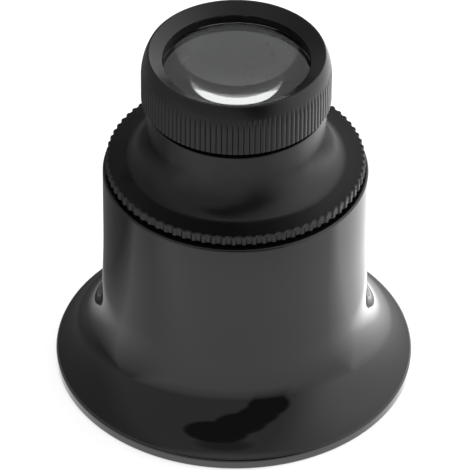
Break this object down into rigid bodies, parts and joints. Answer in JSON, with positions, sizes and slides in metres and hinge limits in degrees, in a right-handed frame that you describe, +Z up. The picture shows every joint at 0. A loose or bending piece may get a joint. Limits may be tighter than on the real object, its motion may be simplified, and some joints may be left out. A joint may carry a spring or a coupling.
{
  "type": "watchmaker loupe",
  "caption": "Bell-shaped eye loupe with a flared eye rim, a toothed screw-in lens carrier and a fluted screw cap over the front lens.",
  "frame": {"origin": "centre of the eye rim's resting face", "axes": "+Z up along the optical axis, from the eye rim to the front lens; X and Y lie in the resting face"},
  "size_m": [0.044, 0.044, 0.0462],
  "materials": {
    "cup_black": "polished moulding",
    "mount_black": "semi-gloss moulding",
    "lens_glass": "polished",
    "inner_black": "matt black"
  },
  "bodies": {
    "eye_cup": {"eye_cup": "cup_black"},
    "rear_optics": {"rear_lens": "lens_glass", "glare_stop": "inner_black"},
    "lens_carrier": {"lens_carrier": "mount_black", "retaining_ring": "inner_black"},
    "front_lens": {"front_lens": "lens_glass"},
    "lens_cap": {"lens_cap": "mount_black"}
  },
  "joints": [
    {"name": "carrier_lift", "type": "slide", "parent": "eye_cup", "child": "rear_optics", "axis": [0, 0, 1], "range_m": [0, 0.004]},
    {"name": "carrier_turn", "type": "hinge", "parent": "rear_optics", "child": "lens_carrier", "pos_m": [0, 0, 0.0255], "axis": [0, 0, 1], "range_deg": [0, 1440]},
    {"name": "cap_turn", "type": "hinge", "parent": "lens_carrier", "child": "front_lens", "pos_m": [0, 0, 0.0425], "axis": [0, 0, 1], "range_deg": [0, 1080]},
    {"name": "cap_lift", "type": "slide", "parent": "front_lens", "child": "lens_cap", "axis": [0, 0, 1], "range_m": [0, 0.00225]}
  ],
  "couplings": [
    {"joint": "carrier_lift", "follows": "carrier_turn", "m_per_rad": 0.00015915},
    {"joint": "cap_lift", "follows": "cap_turn", "m_per_rad": 0.00011937}
  ]
}
